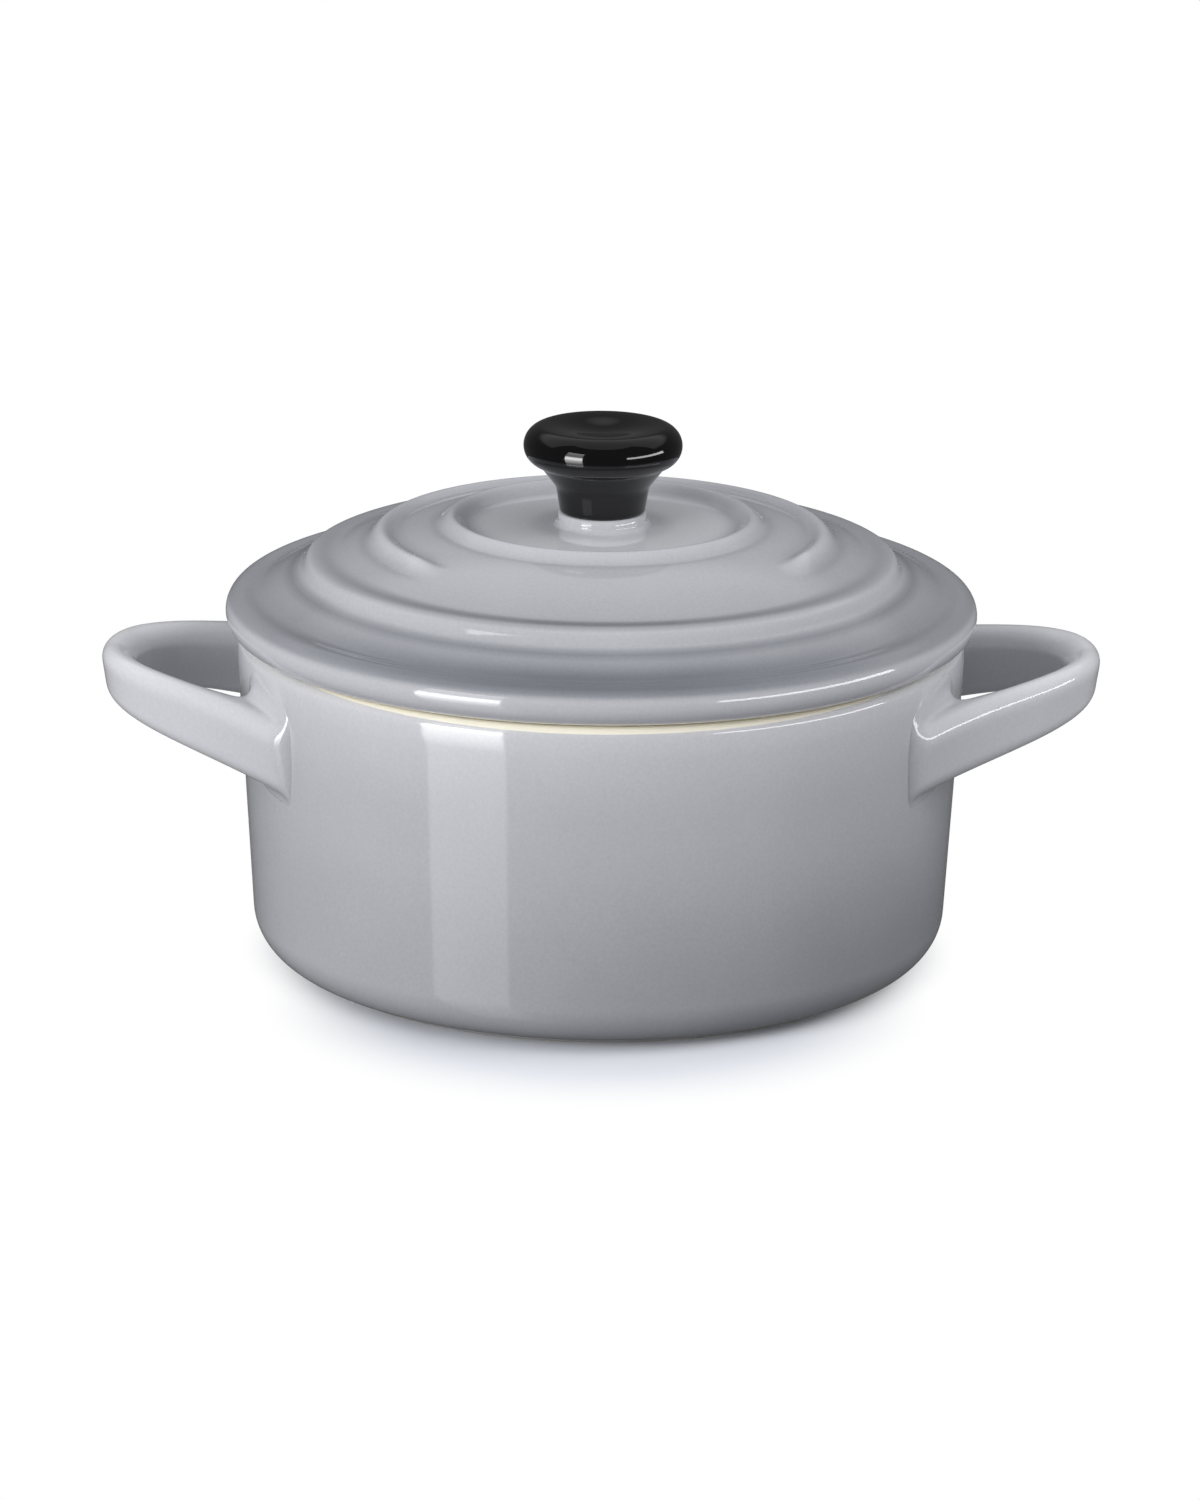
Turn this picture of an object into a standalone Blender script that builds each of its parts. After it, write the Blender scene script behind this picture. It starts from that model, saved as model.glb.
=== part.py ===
"""Mini casserole dish in glazed stoneware: a round pot, two loop handles and a ringed lid.

Units are metres and +Z is up. The dish stands on z = 0 with its axis on the Z axis,
its handles along X and the bare panel of its lid towards -Y.
"""

import math

import bmesh
import bpy

# Pot
POT_RADIUS = 0.0500        # outside of the rim
POT_HEIGHT = 0.0457        # floor to the top of the rim
POT_TAPER = 0.0026         # how far the outside draws in from the rim to the floor
POT_WALL = 0.0050          # thickness of the side wall
POT_FLOOR = 0.0046         # thickness of the bottom, above the recess under it
POT_CORNER = 0.0066        # outer corner between wall and bottom
POT_INNER_CORNER = 0.0075  # inner corner between wall and bottom
RIM_EDGE = 0.0015          # rounding of the rim's two edges
FOOT_INSET = 0.0055        # outside of the wall, at the floor, in to the foot ring
FOOT_WIDTH = 0.0034        # flat of the foot ring
FOOT_STEP = 0.0005         # how far the foot ring stands below the corner
FOOT_RECESS = 0.0012       # depth of the recess inside the foot ring

# Handles
HANDLE_REACH = 0.0165      # wall out to the middle of the grip at its tip
HANDLE_SPREAD = 0.0205     # dish's middle line out to the middle of each root
HANDLE_DROP = 0.0063       # rim down to the middle of the tip
HANDLE_RISE = 0.0045       # how far the loop climbs from root to tip
HANDLE_HEIGHT = 0.0071     # height of the grip
HANDLE_TOP = 0.0062        # width of the grip's upper side
HANDLE_UNDER = 0.0038      # width of the grip's lower side
HANDLE_EDGE = 0.0016       # rounding along the grip
HANDLE_NOSE = 0.0115       # roundness of the tip, as the length of its tangent
HANDLE_ARM = 0.0105        # straightness of each arm, as the length of its tangent
HANDLE_FLARE = 1.40        # growth of the section at the roots, as a factor
HANDLE_SPLAY = 12.0        # degrees that each arm closes in as it leaves the wall
HANDLE_BURY = 0.0040       # length of each arm that runs on into the wall's cutter
LUTING_GAP = 0.0003        # seam of slip under each handle and under the knob

# Lid
LID_SEAT_GAP = 0.0003      # lid's seat above the pot's rim
LID_OVERHANG = 0.00145     # lid's edge beyond the pot's rim
LID_EDGE = 0.0027          # radius of the rounded lid edge
LID_WALL = 0.0046          # thickness of the crown
LID_TURN = 5.0             # degrees that the lid is turned on the pot
CROWN_RISE = 0.01505       # seat up to the flat middle of the crown, below the rings
CROWN_FLAT = 0.0148        # radius of that flat middle
CROWN_RADIUS = 0.0550      # radius of the curve that falls away from it
RING_INSET = 0.0113        # lid's edge in to the crest of the outer ring
RING_PITCH = 0.0098        # crest to crest
RING_COUNT = 3
RING_WIDTH = 0.0046        # foot to foot across one ring
RING_FALL = 0.0016         # outer ring's crest out to the foot of its steep outer side
RING_HEIGHT = 0.0012       # crest above the crown
TROUGH_INSET = 0.0044      # lid's edge in to the lowest line of the brim
TROUGH_DEPTH = 0.0002      # rounded edge's top down to that line
TROUGH_CURVE = 0.0120      # radius of the hollow along it
PANEL_ANGLE = 55.0         # degrees, each side of the front, without the middle ring
PANEL_FADE = 11.0          # degrees over which the middle ring runs out
DISH_DROP = 0.0014         # inner ring's crest down to the dish around the knob
FLANGE_CLEARANCE = 0.0010  # pot's mouth in to the lid's locating flange
FLANGE_DEPTH = 0.0045      # how far the flange reaches into the mouth
FLANGE_WIDTH = 0.0036      # thickness of the flange
FLANGE_EDGE = 0.0010       # rounding of the flange's lower edges

# Knob
BOSS_RADIUS = 0.0060       # boss on the lid that carries the knob
BOSS_HEIGHT = 0.0018       # boss above the dish
BOSS_FILLET = 0.0016       # curve from the boss into the dish
KNOB_HEIGHT = 0.0117       # boss to the knob's top
KNOB_RADIUS = 0.01085      # widest part of the knob
KNOB_ROLL = 0.0028         # radius of the knob's rounded edge
KNOB_DISH = 0.0009         # depth of the hollow in the knob's top
KNOB_INSET = 0.0002        # knob's foot in from the edge of its boss
NECK_HEIGHT = 0.0036       # straight neck below the knob's flare
NECK_GROWTH = 0.0006       # how much the neck widens towards the flare
NECK_CURVE = 0.0016        # curve from the neck into the flare

# Facets around each turned piece
TURN_STEPS = 64
KNOB_STEPS = 48
ARC_STEPS = 5


def clear_scene():
    """Start from an empty file."""
    for item in list(bpy.data.objects):
        bpy.data.objects.remove(item)


def glaze(name, colour, roughness):
    """A fired glaze of one colour."""
    material = bpy.data.materials.new(name)
    material.use_nodes = True
    shader = material.node_tree.nodes["Principled BSDF"]
    shader.inputs["Base Color"].default_value = (*colour, 1.0)
    shader.inputs["Roughness"].default_value = roughness
    shader.inputs["Metallic"].default_value = 0.0
    material.diffuse_color = (*colour, 1.0)
    return material


def new_collection(name):
    collection = bpy.data.collections.new(name)
    bpy.context.scene.collection.children.link(collection)
    return collection


def place(name, data, collection, parent=None, location=(0.0, 0.0, 0.0), turn=0.0):
    """Add one object, turned about Z by an angle in degrees."""
    item = bpy.data.objects.new(name, data)
    item.location = location
    item.rotation_euler = (0.0, 0.0, math.radians(turn))
    item.parent = parent
    collection.objects.link(item)
    return item


def arc(centre, radius, start, end, steps=ARC_STEPS):
    """Points along an arc, from one angle in degrees to another."""
    points = []
    for step in range(steps + 1):
        angle = math.radians(start + (end - start) * step / steps)
        r = centre[0] + radius * math.cos(angle)
        z = centre[1] + radius * math.sin(angle)
        points.append((r, z))
    return points


def fillet(before, corner, after, radius, steps=ARC_STEPS):
    """Points that round one corner of an outline, tangent to both of its sides."""
    back = (before[0] - corner[0], before[1] - corner[1])
    ahead = (after[0] - corner[0], after[1] - corner[1])
    back_length = math.hypot(*back)
    ahead_length = math.hypot(*ahead)
    back = (back[0] / back_length, back[1] / back_length)
    ahead = (ahead[0] / ahead_length, ahead[1] / ahead_length)
    half = math.acos(back[0] * ahead[0] + back[1] * ahead[1]) / 2
    reach = min(radius / math.tan(half), 0.45 * back_length, 0.45 * ahead_length)
    radius = reach * math.tan(half)
    middle = (back[0] + ahead[0], back[1] + ahead[1])
    out = radius / math.sin(half) / math.hypot(*middle)
    centre = (corner[0] + middle[0] * out, corner[1] + middle[1] * out)
    first = math.atan2(corner[1] + back[1] * reach - centre[1],
                       corner[0] + back[0] * reach - centre[0])
    last = math.atan2(corner[1] + ahead[1] * reach - centre[1],
                      corner[0] + ahead[0] * reach - centre[0])
    sweep = (last - first + math.pi) % math.tau - math.pi
    return arc(centre, radius, math.degrees(first), math.degrees(first + sweep), steps)


def turned_mesh(name, profile, steps):
    """A solid turned about Z from a profile that starts and ends on the axis."""
    mesh = bpy.data.meshes.new(name)
    points = [(r, 0.0, z) for r, z in profile]
    edges = [(index, index + 1) for index in range(len(points) - 1)]
    mesh.from_pydata(points, edges, [])
    holder = bpy.data.objects.new(name, mesh)
    bpy.context.scene.collection.objects.link(holder)
    screw = holder.modifiers.new("turn", "SCREW")
    screw.axis = "Z"
    screw.steps = steps
    screw.render_steps = steps
    screw.use_merge_vertices = True
    screw.merge_threshold = 0.00001
    solid = solid_mesh(name, holder)
    bpy.data.objects.remove(holder)
    return solid


def solid_mesh(name, holder):
    """The finished mesh of an object, closed and facing outwards."""
    bpy.context.view_layer.update()
    graph = bpy.context.evaluated_depsgraph_get()
    mesh = bpy.data.meshes.new_from_object(holder.evaluated_get(graph))
    mesh.name = name
    shell = bmesh.new()
    shell.from_mesh(mesh)
    bmesh.ops.remove_doubles(shell, verts=shell.verts, dist=0.000005)
    bmesh.ops.recalc_face_normals(shell, faces=shell.faces)
    shell.to_mesh(mesh)
    shell.free()
    return mesh


# Pot

def wall_radius(height):
    """Outside of the pot's wall at a height above the floor."""
    return POT_RADIUS - POT_TAPER * (1.0 - height / POT_HEIGHT)


def foot_radius():
    return wall_radius(0.0) - FOOT_INSET


def mouth_radius():
    return POT_RADIUS - POT_WALL


def pot_profile():
    """Inside floor, up the inner wall, over the rim, down the outside and under the foot."""
    inside = FOOT_RECESS + POT_FLOOR
    axis = (0.0, inside)
    inner_corner = (wall_radius(inside) - POT_WALL, inside)
    mouth = (mouth_radius(), POT_HEIGHT)
    rim = (POT_RADIUS, POT_HEIGHT)
    lean = math.degrees(math.atan2(POT_TAPER, POT_HEIGHT))
    centre_height = FOOT_STEP + POT_CORNER
    corner = (wall_radius(centre_height) - POT_CORNER, centre_height)
    across = (foot_radius() - corner[0]) / POT_CORNER
    stop = -math.degrees(math.acos(max(-0.05, min(0.95, across))))
    foot = foot_radius()
    recess = foot - FOOT_WIDTH

    profile = [axis]
    profile += fillet(axis, inner_corner, mouth, POT_INNER_CORNER)
    profile += fillet(inner_corner, mouth, rim, RIM_EDGE, 3)
    profile += fillet(mouth, rim, (wall_radius(0.0), 0.0), RIM_EDGE, 3)
    profile += arc(corner, POT_CORNER, -lean, stop, 6)
    profile += [(foot, 0.0), (recess, 0.0)]
    profile += [(recess - FOOT_RECESS, FOOT_RECESS), (0.0, FOOT_RECESS)]
    return profile


# Handles

def grip_section():
    """Outline of the grip, a rounded trapezium that is wider at its top."""
    half = HANDLE_HEIGHT / 2
    corners = [(HANDLE_UNDER / 2, -half), (HANDLE_TOP / 2, half),
               (-HANDLE_TOP / 2, half), (-HANDLE_UNDER / 2, -half)]
    outline = []
    for index, corner in enumerate(corners):
        before = corners[index - 1]
        after = corners[(index + 1) % len(corners)]
        outline += fillet(before, corner, after, HANDLE_EDGE, 3)
    curve = bpy.data.curves.new("grip_section", "CURVE")
    curve.dimensions = "2D"
    spline = curve.splines.new("POLY")
    spline.points.add(len(outline) - 1)
    for point, (across, up) in zip(spline.points, outline):
        point.co = (across, up, 0.0, 1.0)
    spline.use_cyclic_u = True
    return curve


def handle_curve(name, section):
    """One loop swept from root to root, its ends running on into the wall."""
    tip_height = POT_HEIGHT - HANDLE_DROP
    root_height = tip_height - HANDLE_RISE
    wall = wall_radius(root_height)
    splay = math.radians(HANDLE_SPLAY)
    along = (math.cos(splay), math.sin(splay), HANDLE_RISE / HANDLE_REACH)
    root_x = math.sqrt(wall ** 2 - HANDLE_SPREAD ** 2) - HANDLE_BURY * along[0]
    root_y = HANDLE_SPREAD + HANDLE_BURY * along[1]
    root_z = root_height - HANDLE_BURY * along[2]
    arm = HANDLE_ARM + HANDLE_BURY
    reach = (arm * along[0], arm * along[1], arm * along[2])
    tip = (wall + HANDLE_REACH, 0.0, tip_height)

    curve = bpy.data.curves.new(name, "CURVE")
    curve.dimensions = "3D"
    curve.twist_mode = "Z_UP"
    curve.resolution_u = 12
    curve.bevel_mode = "OBJECT"
    curve.bevel_object = section
    curve.use_fill_caps = True
    spline = curve.splines.new("BEZIER")
    spline.bezier_points.add(2)
    front, nose, back = spline.bezier_points
    for point, side in ((front, -1.0), (back, 1.0)):
        point.co = (root_x, side * root_y, root_z)
        inner = (root_x + reach[0], side * (root_y - reach[1]), root_z + reach[2])
        outer = (root_x - reach[0], side * (root_y + reach[1]), root_z - reach[2])
        point.handle_right = inner if side < 0.0 else outer
        point.handle_left = outer if side < 0.0 else inner
        point.radius = HANDLE_FLARE
    nose.co = tip
    nose.handle_left = (tip[0], -HANDLE_NOSE, tip[2])
    nose.handle_right = (tip[0], HANDLE_NOSE, tip[2])
    return curve


def wall_cutter_profile():
    """The pot's outside, one seam larger, from below the handles to above them."""
    return [(0.0, POT_HEIGHT), (wall_radius(POT_HEIGHT) + LUTING_GAP, POT_HEIGHT),
            (wall_radius(0.0) + LUTING_GAP, 0.0), (0.0, 0.0)]


def add_handle(name, turn, section, cutter, material, collection, pot):
    """One loop handle, ending one seam short of the wall."""
    path = place(name + "_path", handle_curve(name, section), collection, turn=turn)
    mesh = solid_mesh(name, path)
    handle = place(name, mesh, collection, parent=pot)
    handle.matrix_world = path.matrix_world.copy()
    bpy.data.objects.remove(path)
    mesh.materials.clear()
    mesh.materials.append(material)
    root = handle.modifiers.new("root", "BOOLEAN")
    root.operation = "DIFFERENCE"
    root.solver = "EXACT"
    root.object = cutter
    return handle


# Lid

def lid_radius():
    return POT_RADIUS + LID_OVERHANG


def ring_radius(index):
    """Crest of a ring, counted inwards from the outer one."""
    return lid_radius() - RING_INSET - RING_PITCH * index


def crown(radius):
    """Height of the crown above the lid's seat, without its rings."""
    out = max(0.0, radius - CROWN_FLAT)
    return CROWN_RISE - CROWN_RADIUS + math.sqrt(CROWN_RADIUS ** 2 - out ** 2)


def dish_height():
    inner = ring_radius(RING_COUNT - 1)
    return crown(inner) + RING_HEIGHT - DISH_DROP


def boss_height():
    return dish_height() + BOSS_HEIGHT


def ring_swell(share):
    """Part of a ring's height, from its crest at 0 to either foot at 1."""
    if abs(share) >= 1.0:
        return 0.0
    return math.cos(math.pi * share / 2) ** 2


def lid_profile():
    """Over the boss, the rings and the rounded edge, then back under the crown."""
    half = RING_WIDTH / 2
    dish = dish_height()
    boss = boss_height()
    curve = min(BOSS_FILLET, BOSS_HEIGHT)
    profile = [(0.0, boss), (BOSS_RADIUS, boss)]
    profile += arc((BOSS_RADIUS + curve, dish + curve), curve, 180.0, 270.0, 4)

    inner = ring_radius(RING_COUNT - 1)
    crest = crown(inner) + RING_HEIGHT
    for share in (-1.0, -0.5):
        lift = ring_swell(share)
        profile.append((inner + share * half, dish + (crest - dish) * lift))
    for index in reversed(range(RING_COUNT)):
        ring = ring_radius(index)
        shares = (-1.0, -0.5, 0.0, 0.5, 1.0)
        if index == RING_COUNT - 1:
            shares = (0.0, 0.5, 1.0)
        if index == 0:
            shares = (-1.0, -0.5, 0.0, 0.5)
        for share in shares:
            reach = RING_FALL if index == 0 and share > 0.0 else half
            radius = ring + share * reach
            profile.append((radius, crown(radius) + RING_HEIGHT * ring_swell(share)))
        if index > 0:
            valley = ring + RING_PITCH / 2
            profile.append((valley, crown(valley)))

    shoulder = ring_radius(0) + RING_FALL
    shoulder = (shoulder, crown(shoulder))
    trough = (lid_radius() - TROUGH_INSET, 2 * LID_EDGE - TROUGH_DEPTH)
    edge = (lid_radius() - LID_EDGE, LID_EDGE)
    edge_top = (edge[0], 2 * LID_EDGE)
    profile.append(shoulder)
    profile += fillet(shoulder, trough, edge_top, TROUGH_CURVE, 3)
    profile += arc(edge, LID_EDGE, 90.0, -90.0, 9)
    profile += lid_underside()
    return profile


def lid_underside():
    """Seat, locating flange and hollow, from the edge in to the axis."""
    outer = mouth_radius() - FLANGE_CLEARANCE
    inner = outer - FLANGE_WIDTH
    ceiling = dish_height() - LID_WALL
    seat = (outer, 0.0)
    outer_foot = (outer, -FLANGE_DEPTH)
    inner_foot = (inner, -FLANGE_DEPTH)
    spring = (inner, min(ceiling, crown(inner) - LID_WALL))
    points = [seat]
    points += fillet(seat, outer_foot, inner_foot, FLANGE_EDGE, 3)
    points += fillet(outer_foot, inner_foot, spring, FLANGE_EDGE, 3)
    points.append(spring)
    for index in range(1, RING_COUNT):
        radius = ring_radius(index)
        points.append((radius, min(ceiling, crown(radius) - LID_WALL)))
    points.append((0.0, ceiling))
    return points


def panel_fade(angle):
    """1 in the bare panel at the front of the lid, 0 where the middle ring runs full."""
    share = (PANEL_ANGLE - abs(angle)) / PANEL_FADE + 0.5
    share = max(0.0, min(1.0, share))
    return share * share * (3.0 - 2.0 * share)


def clear_panel(mesh):
    """Sink the middle ring into the crown across the front of the lid."""
    middle = ring_radius(1)
    half = RING_WIDTH / 2
    for vertex in mesh.vertices:
        x, y, z = vertex.co
        radius = math.hypot(x, y)
        if abs(radius - middle) < half and z > crown(radius) - LID_WALL / 2:
            fade = panel_fade(math.degrees(math.atan2(x, -y)))
            vertex.co.z -= RING_HEIGHT * ring_swell((radius - middle) / half) * fade


# Knob

def knob_profile():
    """Hollowed top, rounded edge, flare, neck and flat foot."""
    foot = BOSS_RADIUS - KNOB_INSET
    roll = (KNOB_RADIUS - KNOB_ROLL, KNOB_HEIGHT - KNOB_ROLL)
    neck = (foot + NECK_GROWTH, NECK_HEIGHT)
    run = math.hypot(roll[0] - neck[0], roll[1] - neck[1])
    slope = math.degrees(math.atan2(roll[1] - neck[1], roll[0] - neck[0]))
    stop = slope - 90.0 + math.degrees(math.asin(min(0.95, KNOB_ROLL / run))) - 90.0
    stop = max(stop, -80.0)
    flare = arc(roll, KNOB_ROLL, 90.0, stop, 9)
    profile = [(0.0, KNOB_HEIGHT - KNOB_DISH)]
    profile.append((roll[0] / 2, KNOB_HEIGHT - KNOB_DISH * 0.75))
    profile += flare
    profile += fillet(flare[-1], neck, (foot, 0.0), NECK_CURVE, 3)
    profile += [(foot, 0.0), (0.0, 0.0)]
    return profile


def main():
    clear_scene()
    dish = new_collection("mini_casserole_dish")
    cutters = new_collection("cutters")
    base = place("mini_casserole_dish", None, dish)

    grey = (0.45, 0.45, 0.47)
    pot_mesh = turned_mesh("pot", pot_profile(), TURN_STEPS)
    pot_mesh.materials.append(glaze("pot_glaze", grey, 0.18))
    pot = place("pot", pot_mesh, dish, parent=base)

    section = place("grip_section", grip_section(), cutters)
    wall = turned_mesh("wall_cutter", wall_cutter_profile(), TURN_STEPS)
    cutter = place("wall_cutter", wall, cutters)
    handle_glaze = glaze("handle_glaze", grey, 0.18)
    add_handle("handle_right", 0.0, section, cutter, handle_glaze, dish, pot)
    add_handle("handle_left", 180.0, section, cutter, handle_glaze, dish, pot)

    seat = (0.0, 0.0, POT_HEIGHT + LID_SEAT_GAP)
    lid_mesh = turned_mesh("lid", lid_profile(), TURN_STEPS)
    clear_panel(lid_mesh)
    lid_mesh.materials.append(glaze("lid_glaze", grey, 0.18))
    lid = place("lid", lid_mesh, dish, parent=base, location=seat, turn=LID_TURN)

    foot = (0.0, 0.0, boss_height() + LUTING_GAP)
    knob_mesh = turned_mesh("knob", knob_profile(), KNOB_STEPS)
    knob_mesh.materials.append(glaze("knob_glaze", (0.012, 0.012, 0.012), 0.06))
    place("knob", knob_mesh, dish, parent=lid, location=foot)

    for helper in (section, cutter):
        helper.hide_render = True
        helper.display_type = "WIRE"


main()
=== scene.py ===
"""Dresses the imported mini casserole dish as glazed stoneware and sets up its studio.

Units are metres, +Z is up, the handles lie along X and the viewer stands at -Y.
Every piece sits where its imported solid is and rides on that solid's body.
"""

import bisect
import math

import bpy
from bpy.props import FloatProperty, FloatVectorProperty, IntProperty, PointerProperty
from bpy.types import Operator, Panel, PropertyGroup
from mathutils import Matrix, Vector


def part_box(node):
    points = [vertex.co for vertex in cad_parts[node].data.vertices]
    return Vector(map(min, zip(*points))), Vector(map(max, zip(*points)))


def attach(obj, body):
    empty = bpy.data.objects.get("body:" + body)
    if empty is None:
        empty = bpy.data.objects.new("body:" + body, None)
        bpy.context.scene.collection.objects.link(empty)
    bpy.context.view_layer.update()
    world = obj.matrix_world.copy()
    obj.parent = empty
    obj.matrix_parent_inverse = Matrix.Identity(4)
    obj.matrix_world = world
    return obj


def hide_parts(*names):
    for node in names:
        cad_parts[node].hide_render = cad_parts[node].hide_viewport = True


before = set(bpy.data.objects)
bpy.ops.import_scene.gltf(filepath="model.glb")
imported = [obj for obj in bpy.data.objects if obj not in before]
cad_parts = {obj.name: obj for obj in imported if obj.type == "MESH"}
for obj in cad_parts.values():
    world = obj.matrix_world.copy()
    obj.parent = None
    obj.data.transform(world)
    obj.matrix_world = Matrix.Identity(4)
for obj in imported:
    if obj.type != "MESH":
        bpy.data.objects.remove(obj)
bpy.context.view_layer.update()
POT_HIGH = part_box("pot")[1]
LID_LOW, LID_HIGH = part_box("lid")
KNOB_LOW, KNOB_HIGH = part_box("knob")

bl_info = {
    "name": "Mini Casserole Dish",
    "version": (1, 0, 0),
    "blender": (4, 5, 0),
    "location": "View3D > Sidebar > Casserole",
    "description": "Dresses a small lidded casserole dish in glazed stoneware",
    "category": "Object",
}

MM = 0.001
QUARTER = math.pi / 2

EDGE_REACH = 1.1 * MM    # how far around a point of the pot's outline its relief is measured
GRIP_REACH = 1.0 * MM    # the same around the grip
GRIP_POINTS = 64         # points around the grip
FILLET_ROWS = 9          # rows of points along the curve from the wall into the grip
GRIP_ROWS = 34           # rows of points from there to the tip
RINGS = 3                # rings on the lid
GLAZE_INDEX = 1.52       # index of refraction of the glassy skin
MIDDLE = Vector((0.0, 0.0, 0.03))    # what the lights and screens stand around


def srgb(code):
    """Linear colour of an sRGB hex value such as #B4B5B9."""
    channels = [int(code[place:place + 2], 16) / 255 for place in (1, 3, 5)]
    return tuple(c / 12.92 if c <= 0.04045 else ((c + 0.055) / 1.055) ** 2.4 for c in channels)


def size(description, millimetres):
    """A length that a user may change."""
    return FloatProperty(description=description, default=millimetres * MM,
                         min=0.0, precision=5, unit="LENGTH")


def factor(description, default):
    """A plain number that a user may change."""
    return FloatProperty(description=description, default=default)


def three_factors(description, default):
    """A plain number for each ring of the lid, from the outer one in."""
    return FloatVectorProperty(description=description, default=default, size=RINGS)


def facets_around(piece, default):
    """A number of faces around a turned piece."""
    return IntProperty(description="Faces around the " + piece, default=default, min=24)


def tint(description, code):
    """A colour that a user may change."""
    return FloatVectorProperty(description=description, default=srgb(code),
                               min=0.0, max=1.0, size=3, subtype="COLOR")


def turn_angle(description, degrees):
    """An angle that a user may change."""
    return FloatProperty(description=description, default=math.radians(degrees), subtype="ANGLE")


# Sizes and colours

class PotSizes(PropertyGroup):
    """Sizes of the pot."""

    rim_radius: size("Outside of the rim", POT_HIGH.x / MM + 0.08)
    height: size("Floor to the top of the rim", POT_HIGH.z / MM)
    taper: size("How far the outside draws in from rim to floor", 2.6)
    wall: size("Thickness of the side wall", 5.0)
    floor: size("Height of the inside floor", 5.8)
    corner: size("Radius between wall and bottom, outside", 6.6)
    inner_corner: size("Radius between wall and bottom, inside", 7.5)
    rim_edge: size("Rounding of the rim's edges", 1.5)
    rim_curve: size("Radius of the slow curve below the rim", 14.0)
    rim_lean: turn_angle("How far that curve turns the wall inwards", 11.0)
    foot_radius: size("Outside of the foot ring", 41.9)
    foot_width: size("Flat of the foot ring", 3.4)
    foot_step: size("How far the foot stands below the corner", 0.5)
    foot_draft: size("How far the foot's outer side leans in", 0.1)
    foot_edge: size("Rounding of the foot's outer edge", 0.3)
    foot_inner_edge: size("Rounding of the foot's inner edge", 0.4)
    recess: size("Depth of the recess inside the foot ring", 1.2)
    recess_edge: size("Rounding between the recess and its side", 0.8)
    bare: size("Height below which the foot ring is bare clay", 0.12)
    spacing: size("Most that two rings of points stand apart", 0.9)
    facets: facets_around("pot", 192)


class HandleSizes(PropertyGroup):
    """Sizes of the two loop handles."""

    spread: size("Middle line out to the middle of each root", 21.8)
    reach: size("Wall out to the middle of the grip at its tip", 16.8)
    drop: size("Rim down to the middle of the tip", 5.75)
    rise: size("Climb from root to tip", 4.95)
    height: size("Height of the grip at its tip", 6.4)
    top: size("Width of the grip's upper side at its tip", 5.2)
    under_out: size("Grip's middle out to its lower outer edge", 1.6)
    under_in: size("Grip's middle in to its lower inner edge", 2.1)
    inner_drop: size("How much lower the grip's inner side ends", 0.9)
    inner_fall: size("How much lower it starts, away from the wall", 0.9)
    edge: size("Rounding along the grip", 1.8)
    fillet: size("Curve into the wall, outside the loop", 1.9)
    inner_fillet: size("Curve into the wall, inside the loop", 3.2)
    crook: size("Curve up the wall from the grip's upper side", 4.5)
    lip: size("Curve down the wall from its under side", 1.3)
    tuck: size("How deep a root's edge ends under the wall's surface", 0.25)
    nose: size("Roundness of the tip, as the length of its tangent", 12.8)
    arm: size("Straightness of each arm, as the length of its tangent", 10.5)
    bury: size("How far each arm's path starts inside the wall", 4.0)
    splay: turn_angle("How far each arm closes in as it leaves the wall", 32.0)
    tilt: turn_angle("Fall of the grip's upper side towards the pot, at the tip", 8.0)
    flare: factor("Growth of the grip's height at the roots", 1.59)
    widening: factor("Growth of its inner half there", 3.0)
    outer_widening: factor("Growth of its outer half there", 1.9)
    slim: factor("Share of each arm along which it narrows", 0.45)
    outer_crook: factor("Share of the crook's height on the outer side", 0.6)
    outer_ease: factor("Share of the crook's length on the outer side", 0.2)
    right_lift: size("How much higher the right handle was set", 0.36)
    left_drop: size("How much lower the left handle was set", 0.24)


class LidSizes(PropertyGroup):
    """Sizes of the lid."""

    radius: size("Outside of the rounded edge", LID_HIGH.y / MM)
    edge: size("Radius of the rounded edge", 2.7)
    flange_depth: size("How far the flange reaches into the mouth", 4.5)
    flange_radius: size("Outside of the locating flange", 44.0)
    flange_width: size("Thickness of the flange", 3.6)
    flange_edge: size("Rounding of the flange's lower edges", 1.0)
    seat_corner: size("Rounding between the seat and the flange", 0.4)
    spring: size("Curve from the flange into the hollow of the lid", 2.5)
    bare: size("How far up from its lower edge the flange is bare clay", 0.25)
    wall: size("Thickness of the crown", 4.6)
    crown_rise: size("Seat up to the flat middle of the crown", 15.05)
    crown_flat: size("Radius of the flat middle of the crown", 14.8)
    crown_curve: size("Radius of the curve that falls away from it", 55.0)
    ring_inset: size("Edge in to the crest of the outer ring", 11.3)
    ring_pitch: size("Crest to crest", 9.8)
    ring_width: size("Foot to foot across one ring", 4.6)
    ring_height: size("Crest above the crown", 1.15)
    ring_fall: size("Outer ring's crest out to its steep outer foot", 1.1)
    ring_slope: size("Outer ring's crest in to its soft inner foot", 4.4)
    dish_drop: size("Inner ring's crest down to the dish", 1.4)
    trough_inset: size("Edge in to the lowest line of the brim", 4.4)
    trough_depth: size("Rounded edge's top down to that line", 0.05)
    trough_curve: size("Radius of the hollow along it", 30.0)
    boss_radius: size("Boss that carries the knob", 6.0)
    boss_height: size("Boss above the dish", 1.8)
    boss_edge: size("Width of the boss's bevelled edge", 0.3)
    boss_fillet: size("Curve from the boss into the dish", 2.4)
    panel_angle: turn_angle("Front sector without the middle ring, each way", 55.0)
    panel_fade: turn_angle("Sector over which the middle ring runs out", 14.0)
    turn: turn_angle("How far the lid is turned on the pot", 5.0)
    spacing: size("Most that two rings of points stand apart", 0.8)
    crown_spacing: size("The same across the rings of the crown", 0.2)
    facets: facets_around("lid", 240)


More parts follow.
